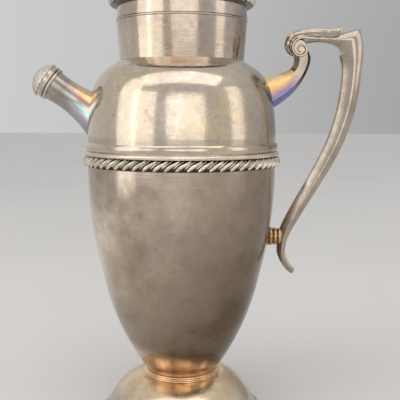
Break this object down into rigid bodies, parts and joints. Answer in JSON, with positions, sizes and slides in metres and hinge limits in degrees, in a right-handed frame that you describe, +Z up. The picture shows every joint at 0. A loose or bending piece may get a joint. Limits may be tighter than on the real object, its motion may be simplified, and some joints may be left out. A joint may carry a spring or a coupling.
{
  "type": "cocktail shaker",
  "caption": "Footed silver-plated cocktail shaker shaped like a coffee pot, with a slanted lobed band, a screw-capped spout, a scroll handle and a lift-off lid.",
  "frame": {"origin": "on the table, under the middle of the foot", "axes": "+Z up, -X towards the spout, +X towards the handle"},
  "size_m": [0.2101, 0.1266, 0.316],
  "materials": {
    "body_silver": "aged silver plate over brass",
    "trim_silver": "aged silver plate over brass",
    "spout_silver": "aged silver plate over brass",
    "handle_silver": "aged silver plate over brass",
    "cap_silver": "aged silver plate over brass",
    "cork": "cork"
  },
  "bodies": {
    "pot": {"foot_rim": "trim_silver", "foot_dome": "body_silver", "stem_collar": "trim_silver", "lower_body": "body_silver", "upper_body": "body_silver", "gadroon_band": "trim_silver", "waist_moulding": "trim_silver", "neck": "body_silver", "neck_rim": "trim_silver", "spout_tube": "spout_silver", "spout_collar": "spout_silver", "spout_strainer": "spout_silver", "handle_casting": "handle_silver", "handle_leaf": "handle_silver", "handle_branch": "handle_silver", "lower_spacer": "handle_silver"},
    "lid": {"lid_sleeve": "body_silver", "lid_skirt": "body_silver", "lid_rim": "trim_silver", "lid_dome": "body_silver", "lid_finial": "trim_silver", "finial_nut": "trim_silver"},
    "cap_seal": {"cap_liner": "cork"},
    "cap": {"cap_ring": "cap_silver", "cap_dome": "cap_silver"}
  },
  "joints": [
    {"name": "lid_lift", "type": "slide", "parent": "pot", "child": "lid", "axis": [0, 0, 1], "range_m": [0, 0.045]},
    {"name": "cap_advance", "type": "slide", "parent": "pot", "child": "cap_seal", "axis": [-0.8339, 0, 0.5519], "range_m": [0, 0.009]},
    {"name": "cap_turn", "type": "hinge", "parent": "cap_seal", "child": "cap", "pos_m": [-0.0814, 0, 0.2159], "axis": [-0.8339, 0, 0.5519], "range_deg": [0, 1620]}
  ],
  "couplings": [
    {"joint": "cap_advance", "follows": "cap_turn", "m_per_rad": 0.0003183}
  ]
}
